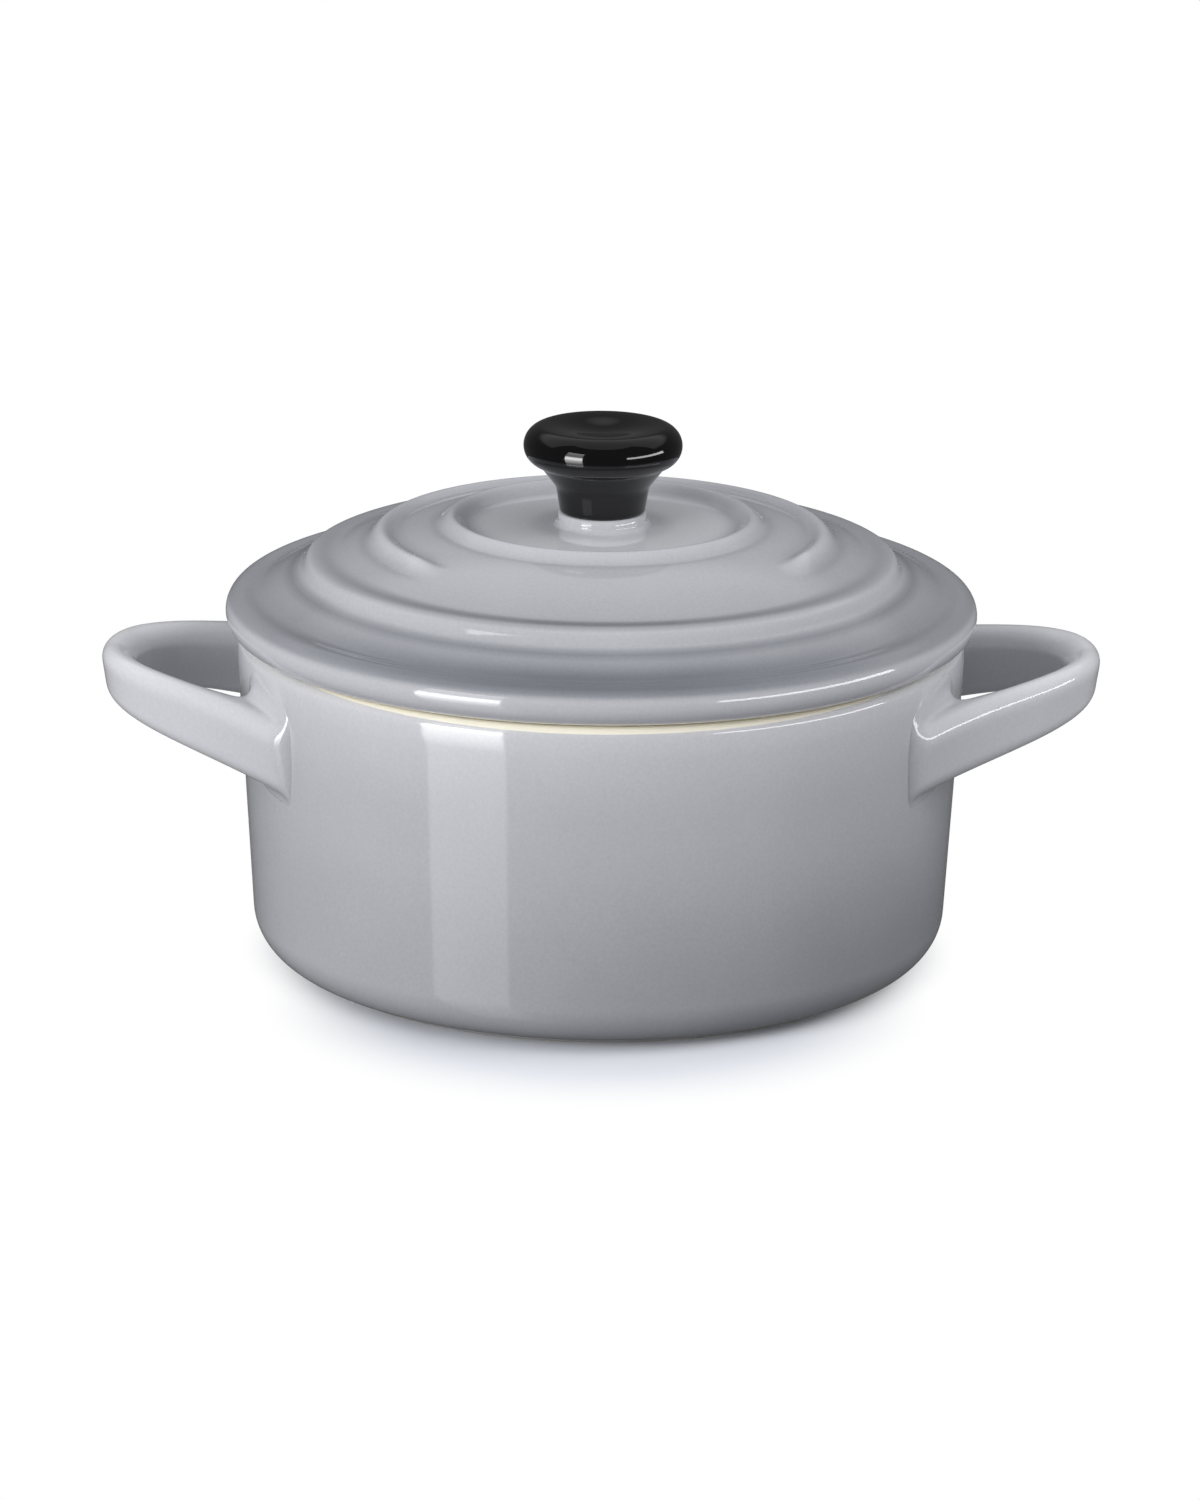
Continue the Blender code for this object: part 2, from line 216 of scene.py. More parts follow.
class KnobSizes(PropertyGroup):
    """Sizes of the knob."""

    radius: size("Widest part of the knob", KNOB_HIGH.x / MM)
    roll: size("Radius of the rounded edge", 2.8)
    dish: size("Depth of the hollow in the top", 0.9)
    foot: size("Radius of the foot", 5.8)
    foot_edge: size("Rounding of the foot", 0.5)
    sink: size("How deep the foot sits in the glaze of the boss", 0.35)
    neck_height: size("Straight neck below the flare", 3.6)
    neck_growth: size("How much the neck widens upwards", 0.6)
    neck_curve: size("Curve from the neck into the flare", 2.2)
    roll_angle: turn_angle("Where the hollow and the flare leave the roll", 80.0)
    spacing: size("Most that two rings of points stand apart", 0.5)
    facets: facets_around("knob", 128)


class GlazeColours(PropertyGroup):
    """Colours of the glazes and of the clay."""

    body: tint("Grey glaze at its usual thickness", "#A5A6AB")
    # Also the colour of painted light, where the depth is lowered to brighten a region
    thin: tint("Grey glaze where it thins over a crest", "#CFCFD3")
    # Also the colour of painted shade, where the depth is raised to darken a region
    pooled: tint("Grey glaze where it pools in a hollow", "#63666D")
    cream: tint("Glaze inside the pot, on its rim and under the lid", "#EFEBDD")
    clay: tint("Bare fired clay of the foot ring and the flange", "#CDBFA8")
    black: tint("Glaze of the knob", "#070708")


class GlazeDepthsAndShades(PropertyGroup):
    """How thick the grey glaze lies, from -1 where it thins most to 1 where it pools most; several entries
    also carry painted light and painted shade.
    """

    # These make the wall darker towards the bottom, partly as painted shade near the floor
    wall: factor("Low on the pot's wall", 0.25)
    wall_low_loss: factor("Lost up to the middle of the wall", 0.25)
    wall_middle_loss: factor("Lost across the middle", 0.22)
    wall_high_loss: factor("Lost towards the rim", 0.38)
    # Painted shade low on the right and painted light low on the left
    wall_side_shade: factor("Gained low on the right and lost low on the left", 0.34)
    wall_crest_loss: factor("Lost for each millimetre that an edge stands out", 0.5)
    under: factor("Under the pot", 0.2)
    # Painted shade inside the loops, and painted light outside them and towards the tips
    grip: factor("Inside the handles' loops", -0.08)
    grip_outer_light: factor("Lost outside the loops", 0.4)
    grip_tip_light: factor("Lost there as well towards the tips", 0.4)
    grip_edge_loss: factor("Lost for each millimetre that an edge stands out", 0.2)
    crown: factor("In the middle of the crown", -0.1)
    # Painted shade towards the brim, most at the front
    brim_shade: factor("Gained towards the brim", 0.5)
    brim_front_shade: factor("Share of that gain that only the front has", 0.4)
    # Painted light in the dish around the knob, strongest in front of it
    dish_light: factor("Lost in the dish around the knob", 0.5)
    dish_front_light: factor("Lost there as well at the front", 0.2)
    # Painted shade on the boss
    boss_shade: factor("Gained on the boss", 0.3)
    crest_loss: three_factors("Lost on the crest of each ring", (0.5, 0.4, 0.15))
    inner_foot_gain: three_factors("Gained inside each ring", (0.15, 0.15, 0.35))
    outer_foot_gain: three_factors("Gained outside each ring", (0.35, 0.2, 0.2))
    # Painted shade inside the outer ring's front
    front_foot_shade: factor("Gained as well inside the outer ring's front", 0.25)
    # Glaze pools in the trough, with painted shade that darkens it most at the front
    pool_and_shade_gain: factor("Gained in the trough behind the rounded edge", 0.6)
    pool_front_shade: factor("Share of that gain that only the front has", 0.8)
    edge_loss: factor("Lost on the rounded edge", 0.7)


class StudioSettings(PropertyGroup):
    """Camera, light and paper."""

    distance: size("Camera to the middle of the dish", 900.0)
    aim: size("Height that the camera looks at", 28.3)
    elevation: turn_angle("Camera above the floor's plane", 16.35)
    roll: turn_angle("Camera turned about its own axis", 0.573)
    lens: factor("Focal length in millimetres", 156.65)
    soft_light: factor("Level of the even light from all sides", 0.85)
    soft_tint: tint("Colour of that light", "#FCFDFF")
    floor: tint("Paper that the dish stands on", "#DEE1E7")
    bounce: tint("What that paper gives back to the dish", "#959597")
    floor_reach: size("Middle out to the paper's edge", 4000.0)
    floor_gap: size("Paper below the foot ring", 0.02)
    floor_inset: size("Foot ring's outside in to the paper's opening", 0.7)
    shade_width: size("Half the width of the paper that keeps its tone", 46.0)
    shade_depth: size("Half the depth of the paper that keeps its tone", 44.0)
    shade_shift: size("How far the middle of that paper lies to the front", 25.0)
    shade_core: factor("Share of that paper up to which its tone is full", 0.58)
    shade_inner: size("Distance up to which all paper keeps its tone", 38.0)
    shade_outer: size("Distance by which it may have lost it", 50.0)


class CasseroleSettings(PropertyGroup):
    """Everything that a user may change."""

    pot: PointerProperty(type=PotSizes)
    handles: PointerProperty(type=HandleSizes)
    lid: PointerProperty(type=LidSizes)
    knob: PointerProperty(type=KnobSizes)
    colours: PointerProperty(type=GlazeColours)
    depths: PointerProperty(type=GlazeDepthsAndShades)
    studio: PointerProperty(type=StudioSettings)


# Outlines

def arc(centre, radius, start, end, steps):
    """Points along an arc, from one angle to another."""
    points = []
    for step in range(steps + 1):
        angle = start + (end - start) * step / steps
        points.append(Vector((centre[0] + radius * math.cos(angle),
                              centre[1] + radius * math.sin(angle))))
    return points


def fillet(before, corner, after, radius, steps=8):
    """Points that round one corner of an outline, tangent to both of its sides."""
    corner = Vector(corner)
    back = Vector(before) - corner
    ahead = Vector(after) - corner
    half = back.angle(ahead) / 2
    most = 0.48 * min(back.length, ahead.length)
    reach = min(radius / math.tan(half), most)
    radius = reach * math.tan(half)
    start = corner + back.normalized() * reach
    end = corner + ahead.normalized() * reach
    middle = (back.normalized() + ahead.normalized()).normalized()
    centre = corner + middle * (radius / math.sin(half))
    first = math.atan2(start.y - centre.y, start.x - centre.x)
    last = math.atan2(end.y - centre.y, end.x - centre.x)
    sweep = (last - first + math.pi) % math.tau - math.pi
    return arc(centre, radius, first, first + sweep, steps)


def spaced(points, gap):
    """The same outline with points added wherever two stand further apart than a gap."""
    result = []
    for start, end in zip(points, points[1:]):
        pieces = max(1, math.ceil((end - start).length / gap))
        for piece in range(pieces):
            result.append(start.lerp(end, piece / pieces))
    return result + [points[-1]]


def lengths_along(points):
    """Length from the first point of an outline to each of its points."""
    marks = [0.0]
    for start, end in zip(points, points[1:]):
        marks.append(marks[-1] + (end - start).length)
    return marks


def point_along(points, marks, place):
    """Point at a length along an outline, whose own points lie at the lengths in marks."""
    place = max(0.0, min(marks[-1], place))
    low = min(len(marks) - 2, bisect.bisect_right(marks, place) - 1)
    share = (place - marks[low]) / max(1e-9, marks[low + 1] - marks[low])
    return points[low].lerp(points[low + 1], share)


def resampled(points, count):
    """A closed outline as a number of points that are evenly spaced along it."""
    loop = points + [points[0]]
    marks = lengths_along(loop)
    return [point_along(loop, marks, marks[-1] * number / count) for number in range(count)]


def relief(points, reach):
    """How far each point of an outline stands out from its surroundings, in millimetres."""
    marks = lengths_along(points)
    heights = []
    for point, mark in zip(points, marks):
        before = point_along(points, marks, mark - reach)
        after = point_along(points, marks, mark + reach)
        along = after - before
        outward = Vector((-along.y, along.x)).normalized()
        heights.append((point - (before + after) / 2).dot(outward) / MM)
    return heights


def first_near(points, place):
    """Which point of an outline is the first to lie at a place."""
    return next(index for index, point in enumerate(points) if (point - place).length < 1e-7)


def smooth_step(low, high, value):
    """0 below low, 1 above high, and a soft change between them."""
    share = max(0.0, min(1.0, (value - low) / (high - low)))
    return share * share * (3.0 - 2.0 * share)


def bell(value, middle, width):
    """1 at a middle, and a soft fall on both sides of it."""
    return math.exp(-((value - middle) / width) ** 2)


# Meshes

def add_object(name, data):
    """An object of the scene."""
    item = bpy.data.objects.new(name, data)
    bpy.context.scene.collection.objects.link(item)
    return item


def add_mesh(name, vertices, faces, materials):
    """An object of the scene with a mesh of its own."""
    mesh = bpy.data.meshes.new(name)
    mesh.from_pydata(vertices, [], faces)
    for material in materials:
        mesh.materials.append(material)
    return add_object(name, mesh)


def add_piece(name, vertices, faces, materials, body, node):
    """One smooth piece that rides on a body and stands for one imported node."""
    piece = add_mesh(name, vertices, faces, materials)
    piece.data.shade_smooth()
    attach(piece, body)
    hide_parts(node)
    return piece


def paint(piece, name, values):
    """Keep one number for each point of a piece, for its material to read."""
    layer = piece.data.attributes.new(name, "FLOAT", "POINT")
    layer.data.foreach_set("value", values)


def circle(radius, height, facets):
    """Points around the Z axis."""
    angles = [math.tau * facet / facets for facet in range(facets)]
    return [(radius * math.cos(angle), radius * math.sin(angle), height) for angle in angles]


def band(first, second, count):
    """Faces between two rings of equally many points, given by the first point of each."""
    faces = []
    for place in range(count):
        after = (place + 1) % count
        faces.append((first + place, second + place, second + after, first + after))
    return faces


def turned(profile, facets):
    """Vertices and faces of a profile turned about Z, both of whose ends are on the axis."""
    vertices = [(0.0, 0.0, profile[0].y)]
    for point in profile[1:-1]:
        vertices += circle(point.x, point.y, facets)
    vertices.append((0.0, 0.0, profile[-1].y))
    last = len(vertices) - 1
    lowest = last - facets
    faces = []
    for facet in range(facets):
        after = (facet + 1) % facets
        faces.append((0, 1 + facet, 1 + after))
        faces.append((last, lowest + after, lowest + facet))
    for ring in range(1, lowest, facets):
        faces += band(ring, ring + facets, facets)
    return vertices, faces


def spread_rings(values, facets):
    """One value for each vertex of a turned piece, from one for each point of its profile."""
    result = [values[0]]
    for value in values[1:-1]:
        result += [value] * facets
    return result + [values[-1]]


# Materials

def add_node(tree, kind, inputs=(), **settings):
    """Add a shader node, set its properties, and give its inputs values or other nodes' outputs."""
    node = tree.nodes.new("ShaderNode" + kind)
    for key, value in settings.items():
        if hasattr(node, key):
            setattr(node, key, value)
        else:
            node.inputs[key.replace("_", " ")].default_value = value
    for socket, value in inputs:
        if isinstance(value, bpy.types.NodeSocket):
            tree.links.new(value, node.inputs[socket])
        else:
            node.inputs[socket].default_value = value
    return node


def painted(tree, name):
    """The number that a piece keeps under this name for each of its points."""
    return add_node(tree, "Attribute", attribute_name=name).outputs["Fac"]


def noise(tree, place, size_mm, detail, roughness=0.5):
    """Noise whose spots are about this many millimetres across."""
    return add_node(tree, "TexNoise", [("Vector", place)], Scale=1.0 / (size_mm * MM), Detail=detail,
                    Roughness=roughness).outputs["Fac"]


def computed(tree, operation, *values):
    """Outcome of a calculation with plain numbers and other nodes' outputs."""
    return add_node(tree, "Math", enumerate(values), operation=operation).outputs[0]


def ranged(tree, value, low, high, **settings):
    """0 to 1, or another range that is given, as a value goes from low to high."""
    return add_node(tree, "MapRange", [("Value", value)], From_Min=low, From_Max=high, **settings).outputs[0]


def mixed(tree, share, first, second, blend="MIX"):
    """Mix of two colours, by a share that is 0 for the first one."""
    colours = [(0, share), (6, first), (7, second)]
    return add_node(tree, "Mix", colours, data_type="RGBA", blend_type=blend).outputs[2]


def blended(tree, share, first, second):
    """Mix of two shaders, by a share that is 0 for the first one."""
    return add_node(tree, "MixShader", [(0, share), (1, first), (2, second)]).outputs[0]


def opaque(colour, level=1.0):
    """A colour for a socket, darkened or brightened by a level."""
    return (*[level * channel for channel in colour], 1.0)


def empty_material(name):
    """A material without nodes, and its tree."""
    material = bpy.data.materials.new(name)
    material.use_nodes = True
    material.node_tree.nodes.clear()
    return material, material.node_tree


def new_material(name, **settings):
    """A material with a Principled shader linked to its output."""
    material, tree = empty_material(name)
    shader = add_node(tree, "BsdfPrincipled", **settings)
    add_node(tree, "OutputMaterial", [("Surface", shader.outputs["BSDF"])])
    return material, tree, shader


def grey_glaze(colours):
    """Glazed stoneware, sprayed and fired: a glassy skin over grey pigment.

    The pigment pales and warms where the glaze runs thinner over crests, and pools dark and blue
    in hollows; the same depth also carries painted light and painted shade. Fine specks and a slight
    orange peel keep its gloss from looking like plastic.
    """
    material, tree, shader = new_material("grey_glazed_stoneware", Roughness=0.07, IOR=GLAZE_INDEX)
    place = add_node(tree, "TexCoord").outputs["Object"]

    # Clouds of thicker and thinner spray, about as wide as a thumb
    cloud = 0.16
    clouded = computed(tree, "MULTIPLY_ADD", noise(tree, place, 14.0, 2.0), cloud,
                       painted(tree, "glaze_depth_and_shade"))
    # The painted depth also carries painted light and painted shade, which this ramp turns into pale and
    # dark grey
    thickness_and_shade = ranged(tree, clouded, cloud / 2 - 1.0, cloud / 2 + 1.0)
    ramp = add_node(tree, "ValToRGB", [("Fac", thickness_and_shade)])
    stops = ramp.color_ramp.elements
    stops[0].color = opaque(colours.thin)
    stops[1].color = opaque(colours.pooled)
    stops.new(0.5).color = opaque(colours.body)

    # Pigment specks of about 0.4 mm
    speck = ranged(tree, noise(tree, place, 0.42, 3.0, 0.7), 0.25, 0.75, To_Min=0.93, To_Max=1.05)
    pigment = mixed(tree, 1.0, ramp.outputs[0], speck, "MULTIPLY")

    # Wavering line where the grey was wiped from the rim, and cream shows
    waver = 0.3
    line = computed(tree, "MULTIPLY_ADD", noise(tree, place, 3.0, 3.0), waver, painted(tree, "cream"))
    skin = mixed(tree, ranged(tree, line, 0.5, 0.8), pigment, opaque(colours.cream))
    tree.links.new(skin, shader.inputs["Base Color"])
    tree.links.new(glaze_bump(tree, place), shader.inputs["Normal"])
    return material


def glaze_bump(tree, place):
    """Slow waves and a fine orange peel, a few thousandths of a millimetre high."""
    slow = add_node(tree, "Bump", [("Height", noise(tree, place, 9.0, 1.0))],
                    Strength=1.0, Distance=0.010 * MM).outputs["Normal"]
    fine = add_node(tree, "Bump", [("Height", noise(tree, place, 1.6, 2.0)), ("Normal", slow)],
                    Strength=1.0, Distance=0.0012 * MM).outputs["Normal"]
    return fine


def black_glaze(colours):
    """Black glazed stoneware, dipped and fired: a deep mirror gloss with a slight orange peel."""
    material, tree, shader = new_material("black_glazed_stoneware", Roughness=0.06, IOR=GLAZE_INDEX)
    place = add_node(tree, "TexCoord").outputs["Object"]
    specks = noise(tree, place, 0.5, 2.0)
    shade = mixed(tree, specks, opaque(colours.black, 0.6), opaque(colours.black, 1.4))
    tree.links.new(shade, shader.inputs["Base Color"])
    tree.links.new(glaze_bump(tree, place), shader.inputs["Normal"])
    return material


def bare_clay(colours):
    """Unglazed stoneware, wiped before firing: dry, buff and sandy."""
    material, tree, shader = new_material("bare_fired_stoneware", Roughness=0.85, IOR=1.5)
    sand = noise(tree, add_node(tree, "TexCoord").outputs["Object"], 0.6, 4.0)
    shade = mixed(tree, sand, opaque(colours.clay, 0.72), opaque(colours.clay))
    grit = add_node(tree, "Bump", [("Height", sand)], Strength=0.6, Distance=0.05 * MM)
    tree.links.new(shade, shader.inputs["Base Color"])
    tree.links.new(grit.outputs["Normal"], shader.inputs["Normal"])
    return material


def finish(name, maker):
    """The material of that name, made the first time it is asked for."""
    return bpy.data.materials.get(name) or maker(bpy.context.scene.casserole.colours)


# Pot

def wall_radius(pot, height):
    """Outside of the pot's wall at a height above the floor."""
    return pot.rim_radius - pot.taper * (1.0 - height / pot.height)


def pot_outline(pot):
    """Inside and rim, then the outside, then the foot and the recess under it."""
    inner_corner = (wall_radius(pot, pot.floor) - pot.wall, pot.floor)
    mouth = (pot.rim_radius - pot.wall, pot.height)
    rim = (pot.rim_radius, pot.height)
    inside = [Vector((0.0, pot.floor))]
    inside += fillet((0.0, pot.floor), inner_corner, mouth, pot.inner_corner, 14)
    inside += fillet(inner_corner, mouth, rim, pot.rim_edge)
    lean = math.atan2(pot.taper, pot.height)
    upright = pot.rim_lean - lean
    shoulder = pot.height - pot.rim_edge * (1.0 - math.sin(upright))
    drop = pot.rim_curve * (math.sin(upright) + math.sin(lean))
    slow = (wall_radius(pot, shoulder - drop) - pot.rim_curve * math.cos(lean),
            shoulder - pot.rim_curve * math.sin(upright))
    edge = (slow[0] + (pot.rim_curve - pot.rim_edge) * math.cos(upright), pot.height - pot.rim_edge)
    inside += arc(edge, pot.rim_edge, QUARTER, upright, 14)
    inside += arc(slow, pot.rim_curve, upright, -lean, 8)[1:]

    centre_height = pot.foot_step + pot.corner
    centre = (wall_radius(pot, centre_height) - pot.corner, centre_height)
    stop = -math.acos((pot.foot_radius - centre[0]) / pot.corner)
    outside = arc(centre, pot.corner, -lean, stop, 18)

    foot = (pot.foot_radius - pot.foot_draft, 0.0)
    inner_foot = (pot.foot_radius - pot.foot_width, 0.0)
    recess = (inner_foot[0] - pot.recess, pot.recess)
    under = fillet(outside[-1], foot, inner_foot, pot.foot_edge, 3)
    under += fillet(foot, inner_foot, recess, pot.foot_inner_edge, 3)
    under += fillet(inner_foot, recess, (0.0, pot.recess), pot.recess_edge, 4)
    under.append(Vector((0.0, pot.recess)))
    return inside, outside, under


def pot_spray_and_shade(pot, depths, height):
    """Glaze depth on the wall at a height: darker towards the bottom, partly as painted shade near the
    floor.
    """
    spray_and_shade = depths.wall - depths.wall_low_loss * smooth_step(6.0 * MM, 26.0 * MM, height)
    spray_and_shade -= depths.wall_middle_loss * smooth_step(16.0 * MM, 36.0 * MM, height)
    return spray_and_shade - depths.wall_high_loss * smooth_step(32.0 * MM, pot.height, height)


def wiped_rim(side):
    """How far down the rim's front the grey was wiped off, in millimetres, by the angle from the front."""
    front, deepest = math.radians(56.25), 0.8
    return deepest * math.cos(QUARTER * side / front) if abs(side) < front else 0.0


class CASSEROLE_OT_pot(Operator):
    """Turn the glazed pot"""

    bl_idname = "casserole.pot"
    bl_label = "Pot"

    def execute(self, context):
        pot = context.scene.casserole.pot
        depths = context.scene.casserole.depths
        inside, outside, under = pot_outline(pot)
        profile = spaced(inside + outside + under, pot.spacing)
        vertices, faces = turned(profile, pot.facets)
        grey = finish("grey_glazed_stoneware", grey_glaze)
        clay = finish("bare_fired_stoneware", bare_clay)
        piece = add_piece("glazed_pot", vertices, faces, [grey, clay], "pot", "pot")

        # Each point's height above the rim's top in millimetres, which tells cream from grey
        all_cream, all_grey = 1.0, -9.0
        sprays_and_shades = []
        creams = []
        outer = False
        for point, height in zip(profile, relief(profile, EDGE_REACH)):
            outer = outer or point.x > pot.rim_radius - pot.rim_edge
            sprays_and_shades.append(pot_spray_and_shade(pot, depths, point.y) - depths.wall_crest_loss * height)
            creams.append((point.y - pot.height) / MM if outer else all_cream)
        for index in range(first_near(profile, under[0]), len(profile)):
            sprays_and_shades[index] = depths.under
            creams[index] = all_grey
        sprays_and_shades = spread_rings(sprays_and_shades, pot.facets)
        creams = spread_rings(creams, pot.facets)
        for index, (x, y, z) in enumerate(vertices):
            low = 1.0 - smooth_step(4.0 * MM, 34.0 * MM, z)
            # Painted shade low on the right and painted light low on the left
            sprays_and_shades[index] += depths.wall_side_shade * low * x / pot.rim_radius
            creams[index] = smooth_step(-0.2, 0.2, creams[index] + wiped_rim(math.atan2(x, -y)))
        paint(piece, "glaze_depth_and_shade", sprays_and_shades)
        paint(piece, "cream", creams)
        for face in piece.data.polygons:
            flat = face.center.z < pot.bare
            ring = math.hypot(face.center.x, face.center.y) > pot.foot_radius - pot.foot_width
            face.material_index = 1 if flat and ring else 0
        return {"FINISHED"}


# Handles

def grip_outline(handles):
    """Section of the grip: across, outwards being positive, and up."""
    half = handles.height / 2
    corners = [(handles.under_out, -half), (handles.top / 2, half),
               (-handles.top / 2, half), (-handles.under_in, -half - handles.inner_drop)]
    points = []
    for index, corner in enumerate(corners):
        before = corners[index - 1]
        after = corners[(index + 1) % len(corners)]
        points += fillet(before, corner, after, handles.edge)
    return resampled(points, GRIP_POINTS)


def handle_path(pot, handles, lift):
    """Bezier points of the front half of the right handle, from inside the wall to the tip."""
    tip_height = pot.height - handles.drop + lift
    root_height = tip_height - handles.rise
    wall = wall_radius(pot, root_height)
    along = Vector((math.cos(handles.splay), math.sin(handles.splay), handles.rise / handles.arm / 2))
    root = Vector((math.sqrt(wall ** 2 - handles.spread ** 2), -handles.spread, root_height))
    start = root - along * handles.bury
    tip = Vector((wall + handles.reach, 0.0, tip_height))
    return start, start + along * (handles.arm + handles.bury), tip - Vector((0.0, handles.nose, 0.0)), tip


def on_path(path, share):
    """Point on the handle's path, from 0 at its start to 1 at the tip, and a third of its speed."""
    start, first, second, tip = path
    rest = 1.0 - share
    point = (start * rest ** 3 + first * 3 * rest ** 2 * share
             + second * 3 * rest * share ** 2 + tip * share ** 3)
    along = ((first - start) * rest ** 2 + (second - first) * 2 * rest * share
             + (tip - second) * share ** 2)
    return point, along


def rail_point(path, handles, corner, share):
    """One point of the grip's section, carried along the path."""
    point, along = on_path(path, share)
    outward = along.cross(Vector((-math.sin(handles.tilt), 0.0, math.cos(handles.tilt)))).normalized()
    growth = handles.widening if corner.x < 0.0 else handles.outer_widening
    width = 1.0 + (growth - 1.0) * max(0.0, 1.0 - share / handles.slim) ** 2
    height = corner.y * (handles.flare + (1.0 - handles.flare) * share)
    inner = max(0.0, -corner.x) * max(0.0, corner.y) / (handles.top / 2) / (handles.height / 2)
    height -= handles.inner_fall * inner * smooth_step(0.1, handles.slim, share)
    return point + outward * (corner.x * width) + Vector((0.0, 0.0, height))


def leaving_share(pot, handles, path, corner):
    """Share of the path at which one point of the section comes out of the wall."""
    low, high = 0.0, 0.6
    for _ in range(40):
        middle = (low + high) / 2
        point = rail_point(path, handles, corner, middle)
        inside = math.hypot(point.x, point.y) < wall_radius(pot, point.z)
        low, high = (middle, high) if inside else (low, middle)
    return high


def on_wall(pot, point, depth=0.0):
    """The point moved level to a depth under the outside of the pot's wall."""
    scale = (wall_radius(pot, point.z) - depth) / math.hypot(point.x, point.y)
    return Vector((point.x * scale, point.y * scale, point.z))


def handle_rows(pot, handles, section, lift):
    """Rows of points from the wall to the tip, with a fillet where each rail leaves the wall."""
    path = handle_path(pot, handles, lift)
    rails = []
    for corner in section:
        wall_share = leaving_share(pot, handles, path, corner)
        wall_point = rail_point(path, handles, corner, wall_share)
        along = on_path(path, wall_share)[1]
        outward = Vector((along.y, -along.x, 0.0)).normalized()
        away = corner.normalized()
        outer = smooth_step(-0.5 * handles.top, 0.2 * handles.top, corner.x)
        reach = handles.inner_fillet + (handles.fillet - handles.inner_fillet) * outer
        climb = handles.lip
        if away.y > 0.0:
            climb = handles.crook * (1.0 + (handles.outer_crook - 1.0) * outer)
        upper = smooth_step(0.0, 0.8, away.y) * (1.0 + (handles.outer_ease - 1.0) * outer)
        fillet_length = reach + max(0.0, handles.crook - reach) * upper
        leave_share = wall_share + fillet_length / (3.0 * along.length)
        leave = rail_point(path, handles, corner, leave_share)
        lip = wall_point + outward * (away.x * reach) + Vector((0.0, 0.0, away.y * climb))
        lip = on_wall(pot, lip)
        beyond = lip + (lip - wall_point) * 0.15
        rail = [on_wall(pot, beyond, handles.tuck)]
        for row in range(FILLET_ROWS):
            share = row / FILLET_ROWS
            rest = 1.0 - share
            rail.append(lip * rest ** 2 + wall_point * 2 * share * rest + leave * share ** 2)
        for row in range(GRIP_ROWS + 1):
            share = leave_share + (1.0 - leave_share) * row / GRIP_ROWS
            rail.append(rail_point(path, handles, corner, share))
        rails.append(rail)
    return [list(row) for row in zip(*rails)]


class CASSEROLE_OT_handles(Operator):
    """Loft the two loop handles out of the pot's wall"""

    bl_idname = "casserole.handles"
    bl_label = "Handles"

    def execute(self, context):
        settings = context.scene.casserole
        pot, handles, depths = settings.pot, settings.handles, settings.depths
        section = grip_outline(handles)
        sides = {}
        for name, lift in (("handle_right", handles.right_lift), ("handle_left", -handles.left_drop)):
            rows = handle_rows(pot, handles, section, lift)
            rows += [[Vector((p.x, -p.y, p.z)) for p in row] for row in reversed(rows[:-1])]
            sides[name] = rows
        faces = []
        for row in range(len(rows) - 1):
            faces += band(row * GRIP_POINTS, (row + 1) * GRIP_POINTS, GRIP_POINTS)

        # Both handles are glazed alike, with painted shade inside the loops and painted light outside them,
        # growing towards the tips
        overlap = 8
        swell = relief(section[-overlap:] + section + section[:overlap], GRIP_REACH)[overlap:-overlap]
        sprays_and_shades = []
        for index, row in enumerate(rows):
            from_end = min(index, len(rows) - 1 - index)
            grip = smooth_step(1, FILLET_ROWS + 2, from_end)
            outwards = smooth_step(0, len(rows) / 2, from_end)
            for point, corner, height in zip(row, section, swell):
                outside = smooth_step(-0.6 * handles.top, 0.1 * handles.top, corner.x)
                loop = depths.grip - depths.grip_edge_loss * abs(height)
                loop -= (depths.grip_outer_light + depths.grip_tip_light * outwards) * outside
                wall = pot_spray_and_shade(pot, depths, point.z)
                sprays_and_shades.append(wall + (loop - wall) * grip)
        grey = finish("grey_glazed_stoneware", grey_glaze)
        for name, turn in (("handle_right", 1.0), ("handle_left", -1.0)):
            vertices = [(turn * p.x, turn * p.y, p.z) for row in sides[name] for p in row]
            piece = add_piece("glazed_" + name, vertices, faces, [grey], "pot", name)
            paint(piece, "glaze_depth_and_shade", sprays_and_shades)
        return {"FINISHED"}


# Lid

def crown(lid, radius):
    """Height of the crown above the lid's seat, without its rings."""
    out = max(0.0, radius - lid.crown_flat)
    return lid.crown_rise - lid.crown_curve + math.sqrt(lid.crown_curve ** 2 - out ** 2)


def ring_radius(lid, index):
    """Crest of a ring, counted inwards from the outer one."""
    return lid.radius - lid.ring_inset - lid.ring_pitch * index


def ring_swell(lid, ring, radius):
    """Share of one ring's height at a radius."""
    offset = radius - ring_radius(lid, ring)
    half = lid.ring_width / 2
    if ring == 0:
        half = lid.ring_fall if offset > 0.0 else lid.ring_slope
    if abs(offset) >= half:
        return 0.0
    return math.cos(QUARTER * offset / half) ** 2


